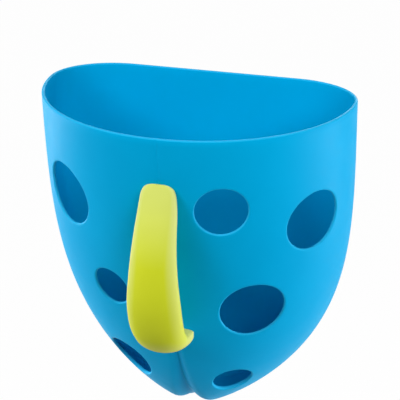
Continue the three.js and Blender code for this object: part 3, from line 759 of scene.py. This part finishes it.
def moulded(name, dark, light, lip, tint, rough, gloss):
    """Satin moulded plastic: colour drift, fine skin texture, uneven gloss, and painted light: paler by the
    painted highlights, sheen and bounce light that the mesh's points carry.
    """
    n = Nodes(name)
    body = n.mix(n.ramp(n.noise(scale=14.0, detail=4.0, rough=0.55), 0.0, 1.0), dark, light)
    # painted light: the per-point values pale the base colour towards the given paler colour
    painted_light_share = n.ramp(n.attribute("lip"), 0.0, 0.55, low=0.2, high=1.0)
    n.feed("Base Color", n.mix(painted_light_share, body, lip))
    n.feed("Roughness", n.ramp(n.noise(scale=70.0, detail=5.0, rough=0.6), *rough))
    skin = n.bump(n.noise(scale=1500.0, detail=2.0), distance=0.00006, strength=0.2)
    n.feed("Normal", n.bump(n.noise(scale=26.0, detail=2.0), distance=0.0006, strength=0.12, below=skin))
    n.set(IOR=1.49, Specular_Tint=(*tint, 1.0), Specular_IOR_Level=gloss)
    return n.material


def vinyl():
    """Frosted soft vinyl of the cups."""
    n = Nodes("clear_vinyl")
    n.feed("Base Color", n.mix(n.noise(scale=60.0), (0.78, 0.84, 0.86), (0.9, 0.93, 0.94)))
    n.feed("Roughness", n.ramp(n.noise(scale=220.0, detail=4.0), 0.4, 0.55))
    n.feed("Normal", n.bump(n.noise(scale=180.0, detail=2.0), distance=0.0002, strength=0.08))
    n.set(IOR=1.3, Transmission_Weight=0.5)
    return n.material


def rubber():
    """Matt white rubber of the bumpers."""
    n = Nodes("white_rubber")
    n.feed("Base Color", n.mix(n.noise(scale=90.0, detail=4.0), (0.74, 0.75, 0.74), (0.84, 0.85, 0.84)))
    n.feed("Roughness", n.ramp(n.noise(scale=300.0, detail=4.0), 0.62, 0.8))
    n.feed("Normal", n.bump(n.noise(scale=2200.0, detail=2.0), distance=0.00008, strength=0.4))
    return n.material


def steel():
    """Stainless steel of the screws, brushed along z."""
    n = Nodes("stainless_steel")
    brushed = n.noise(scale=900.0, rough=0.6, stretch=(1.0, 1.0, 0.05))
    n.feed("Base Color", n.mix(brushed, (0.46, 0.47, 0.49), (0.62, 0.63, 0.64)))
    n.feed("Roughness", n.ramp(brushed, 0.24, 0.4))
    n.feed("Normal", n.bump(brushed, distance=0.00004, strength=0.3))
    n.set(Metallic=1.0)
    return n.material


# Each third colour is the paler tone of painted light: painted highlights on the bin's lips, painted sheen
# and bounce light on the handle.
BLUE = moulded(
    "blue_plastic", dark=(0.0, 0.325, 0.615), light=(0.0, 0.345, 0.645), lip=(0.03, 0.42, 0.72),
    tint=(0.0, 0.6, 0.9), rough=(0.4, 0.5), gloss=0.035)
LIME = moulded(
    "lime_plastic", dark=(0.5, 0.56, 0.015), light=(0.535, 0.585, 0.02), lip=(0.59, 0.625, 0.33),
    tint=(1.0, 1.0, 0.8), rough=(0.65, 0.75), gloss=0.1)
VINYL, RUBBER, STEEL = vinyl(), rubber(), steel()


def add(piece, material, body, node):
    """Gives a piece its finish and its body, and hides the CAD node that it stands for."""
    piece.data.materials.clear()
    piece.data.materials.append(material)
    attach(piece, body)
    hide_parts(node)


def add_fastening(name, drop):
    """One screw of the handle, with the pad that it sits on, the boss that it enters and the cap over it."""
    base, axis = screw_seat(drop)
    bore, pad = BOSS_DIAMETER / 2 + FIT_GAP, PAD_DIAMETER / 2
    ring = [(bore, PAD_FACE), (pad, PAD_FACE), (pad, -BIN_WALL / 2), (bore, -BIN_WALL / 2)]
    add(lathe(f"screw_pad_{name}", rounded(ring, PAD_EDGE, closed=True), base, axis),
        BLUE, "scoop", "scoop_body")
    pilot, boss, low = SCREW_DIAMETER / 2 + FIT_GAP, BOSS_DIAMETER / 2, PAD_FACE + FIT_GAP
    ring = [(pilot, low), (boss, low), (boss, BOSS_RISE), (pilot, BOSS_RISE)]
    add(lathe(f"handle_boss_{name}", rounded(ring, BOSS_EDGE, closed=True), base, axis),
        LIME, "scoop", "handle")
    inner = SCREW_HEAD_DIAMETER / 2 + FIT_GAP
    outer = inner + CAP_WALL
    ceiling = SCREW_SEAT - SCREW_HEAD_HEIGHT - FIT_GAP
    top = ceiling - CAP_WALL
    cap = [(0, top), (CAP_CROWN_RADIUS, top + CAP_CROWN_DROP), (outer, top + CAP_SHOULDER_DROP),
           (outer, SCREW_SEAT), (inner, SCREW_SEAT), (inner, ceiling), (0, ceiling)]
    add(lathe(f"cap_{name}", rounded(cap, CAP_EDGE), base, axis),
        BLUE, "scoop", f"screw_cap_{name}")
    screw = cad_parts[f"handle_screw_{name}"]
    screw.data.materials.clear()
    screw.data.materials.append(STEEL)


def add_pocket():
    """Pocket on the bin's back that drops over the bracket's tongue."""
    inner = TONGUE_WIDTH / 2 + 2 * FIT_GAP
    outer = inner + POCKET_WALL
    roof = TONGUE_TOP + FIT_GAP
    ys = [BIN_BACK_Y - POCKET_ROOT, TONGUE_BACK + FIT_GAP, PLATE_FRONT - FIT_GAP]
    zs = [SHELF_TOP + FIT_GAP, roof, roof + POCKET_WALL]
    add(block("hanger_pocket", [-outer, -inner, inner, outer], ys, zs, {(1, 0, 0)}, POCKET_EDGE),
        BLUE, "scoop", "scoop_body")


def add_bracket():
    """Plate with two keyholes, and the tongue on its shelf."""
    outline = rectangle(PLATE_WIDTH / 2, -PLATE_HEIGHT / 2, PLATE_HEIGHT / 2, PLATE_CORNER, True)
    tongue = rectangle(TONGUE_WIDTH / 2, SHELF_BOTTOM, TONGUE_TOP, TONGUE_CORNER, False)
    xs = [-TONGUE_WIDTH / 2, TONGUE_WIDTH / 2]
    ys = [TONGUE_BACK - SHELF_INTO_TONGUE, PLATE_FRONT + SHELF_INTO_PLATE]
    zs = [SHELF_BOTTOM, SHELF_TOP]
    pieces = [
        plate("bracket_plate", [outline, keyhole(-1), keyhole(1)], PLATE_BACK, PLATE_FRONT, PLATE_EDGE),
        plate("bracket_tongue", [tongue], TONGUE_BACK, TONGUE_FRONT, TONGUE_EDGE),
        block("bracket_shelf", xs, ys, zs, set(), SHELF_EDGE),
    ]
    for piece in pieces:
        add(piece, BLUE, "wall_mount", "wall_bracket")


def add_cup(name, side):
    """Suction cup, pressed to the wall, with the neck and head that hang in the bracket's keyhole."""
    rim, neck, head = CUP_DIAMETER / 2, CUP_NECK_DIAMETER / 2, CUP_HEAD_DIAMETER / 2
    under = -PLATE_FRONT + FIT_GAP
    top = under + CUP_HEAD_THICKNESS
    cup = [(0, CUP_HOLLOW), (rim - CUP_HOLLOW_INSET, CUP_HOLLOW_EDGE), (rim - CUP_LIP_WIDTH, 0), (rim, 0),
           (rim, CUP_LIP_HEIGHT), ((rim + CUP_COLLAR) / 2, CUP_BELLY), (CUP_COLLAR, CUP_SHOULDER),
           (CUP_COLLAR - CUP_BEVEL, CUP_HEIGHT), (neck, CUP_HEIGHT), (neck, under), (head, under),
           (head, top - CUP_HEAD_BEVEL), (head - CUP_HEAD_BEVEL, top), (0, top)]
    add(lathe(f"cup_{name}", rounded(cup, CUP_EDGE), (side * CUP_SPACING / 2, 0, 0), INTO_ROOM, sides=96),
        VINYL, "wall_mount", f"suction_cup_{name}")


def add_bumper(name, side):
    """Rubber bumper that snaps into the bin's back and rests on the wall."""
    radius, stem, snap = BUMPER_DIAMETER / 2, BUMPER_STEM / 2, BUMPER_HEAD / 2
    flange, under = -BIN_BACK_Y - FIT_GAP, -BIN_BACK_Y + BIN_WALL + FIT_GAP
    tip = under + BUMPER_HEAD_HEIGHT
    foot = [(0, 0), (radius - BUMPER_BEVEL, 0), (radius, BUMPER_BEVEL), (radius, flange), (stem, flange),
            (stem, under), (snap, under), (BUMPER_TIP / 2, tip), (0, tip)]
    base = (side * BUMPER_SPACING / 2, 0, RIM_Z - BUMPER_DROP)
    add(lathe(f"bumper_{name}", rounded(foot, BUMPER_EDGE), base, INTO_ROOM),
        RUBBER, "scoop", f"wall_bumper_{name}")


def seen_rays(tree, share):
    """The share for camera, glossy and transmission rays, and 0 for the rest."""
    path = tree.nodes.new("ShaderNodeLightPath")
    total = path.outputs["Is Camera Ray"]
    for name in ("Is Glossy Ray", "Is Transmission Ray"):
        most = tree.nodes.new("ShaderNodeMath")
        most.operation = "MAXIMUM"
        tree.links.new(total, most.inputs[0])
        tree.links.new(path.outputs[name], most.inputs[1])
        total = most.outputs["Value"]
    scale = tree.nodes.new("ShaderNodeMath")
    scale.operation = "MULTIPLY"
    scale.inputs[1].default_value = share
    tree.links.new(total, scale.inputs[0])
    return scale.outputs["Value"]


def stage_floor():
    """Pale floor, white to the camera and in reflections, that keeps the object's shadow."""
    mesh = bpy.data.meshes.new("floor")
    corners = [(x * FLOOR_HALF, y * FLOOR_HALF, FLOOR_Z) for x, y in ((-1, -1), (1, -1), (1, 1), (-1, 1))]
    mesh.from_pydata(corners, [], [(0, 1, 2, 3)])
    floor = bpy.data.objects.new("floor", mesh)
    bpy.context.scene.collection.objects.link(floor)
    material = bpy.data.materials.new("pale_floor")
    material.use_nodes = True
    tree = material.node_tree
    shader = tree.nodes["Principled BSDF"]
    shader.inputs["Base Color"].default_value = (FLOOR_GREY, FLOOR_GREY, FLOOR_GREY, 1)
    shader.inputs["Roughness"].default_value = FLOOR_ROUGH
    glow = tree.nodes.new("ShaderNodeEmission")
    blend = tree.nodes.new("ShaderNodeMixShader")
    tree.links.new(seen_rays(tree, FLOOR_SEEN), blend.inputs["Fac"])
    tree.links.new(shader.outputs["BSDF"], blend.inputs[1])
    tree.links.new(glow.outputs["Emission"], blend.inputs[2])
    tree.links.new(blend.outputs["Shader"], tree.nodes["Material Output"].inputs["Surface"])
    mesh.materials.append(material)


def sky():
    """White world to the camera and in reflections, and a dim light otherwise."""
    made = bpy.data.worlds.new("studio")
    made.use_nodes = True
    tree = made.node_tree
    dim = tree.nodes["Background"]
    white = tree.nodes.new("ShaderNodeBackground")
    for node, strength in ((dim, SKY_LIGHT), (white, SKY_SEEN)):
        node.inputs["Color"].default_value = (1, 1, 1, 1)
        node.inputs["Strength"].default_value = strength
    blend = tree.nodes.new("ShaderNodeMixShader")
    tree.links.new(seen_rays(tree, 1.0), blend.inputs["Fac"])
    tree.links.new(dim.outputs["Background"], blend.inputs[1])
    tree.links.new(white.outputs["Background"], blend.inputs[2])
    tree.links.new(blend.outputs["Shader"], tree.nodes["World Output"].inputs["Surface"])
    bpy.context.scene.world = made


def direction(azimuth, elevation):
    """Direction from the bin; azimuth 0 is straight in front, positive to the right."""
    turn, lift = math.radians(azimuth), math.radians(elevation)
    return Vector((math.sin(turn) * math.cos(lift), -math.cos(turn) * math.cos(lift), math.sin(lift)))


def softbox(name, azimuth, elevation, distance, size, watts):
    """Soft lamp aimed at the bin."""
    away = direction(azimuth, elevation)
    light = bpy.data.lights.new(name, "AREA")
    light.shape, light.size, light.size_y, light.energy = "RECTANGLE", *size, watts
    holder = bpy.data.objects.new(name, light)
    holder.location = LAMP_AIM + distance * away
    holder.rotation_mode = "QUATERNION"
    holder.rotation_quaternion = (-away).to_track_quat("-Z", "Y")
    bpy.context.scene.collection.objects.link(holder)


def photo_camera():
    """Camera at the photograph's angle."""
    turn = math.radians(CAMERA_AZIMUTH)
    right = Vector((math.cos(turn), math.sin(turn), 0))
    back = direction(CAMERA_AZIMUTH, CAMERA_ELEVATION)
    up = back.cross(right)
    place = CAMERA_AIM + CAMERA_RIGHT * right + CAMERA_UP * up + CAMERA_DISTANCE * back
    camera = bpy.data.objects.new("camera", bpy.data.cameras.new("camera"))
    camera.data.lens, camera.data.sensor_width = CAMERA_LENS, CAMERA_SENSOR
    camera.data.sensor_fit = "HORIZONTAL"
    camera.data.clip_end = CAMERA_END
    camera.matrix_world = Matrix.Translation(place) @ Matrix((right, up, back)).transposed().to_4x4()
    bpy.context.scene.collection.objects.link(camera)
    bpy.context.scene.camera = camera


add(bin_shell(), BLUE, "scoop", "scoop_body")
add(handle_piece(), LIME, "scoop", "handle")
for screw_name, screw_drop in SCREW_DROPS.items():
    add_fastening(screw_name, screw_drop)
add_pocket()
add_bracket()
for side_name, side_sign in SIDES:
    add_cup(side_name, side_sign)
    add_bumper(side_name, side_sign)

stage_floor()
sky()
for lamp in SOFTBOXES:
    softbox(*lamp)
photo_camera()
bpy.context.scene.view_settings.view_transform = "Standard"
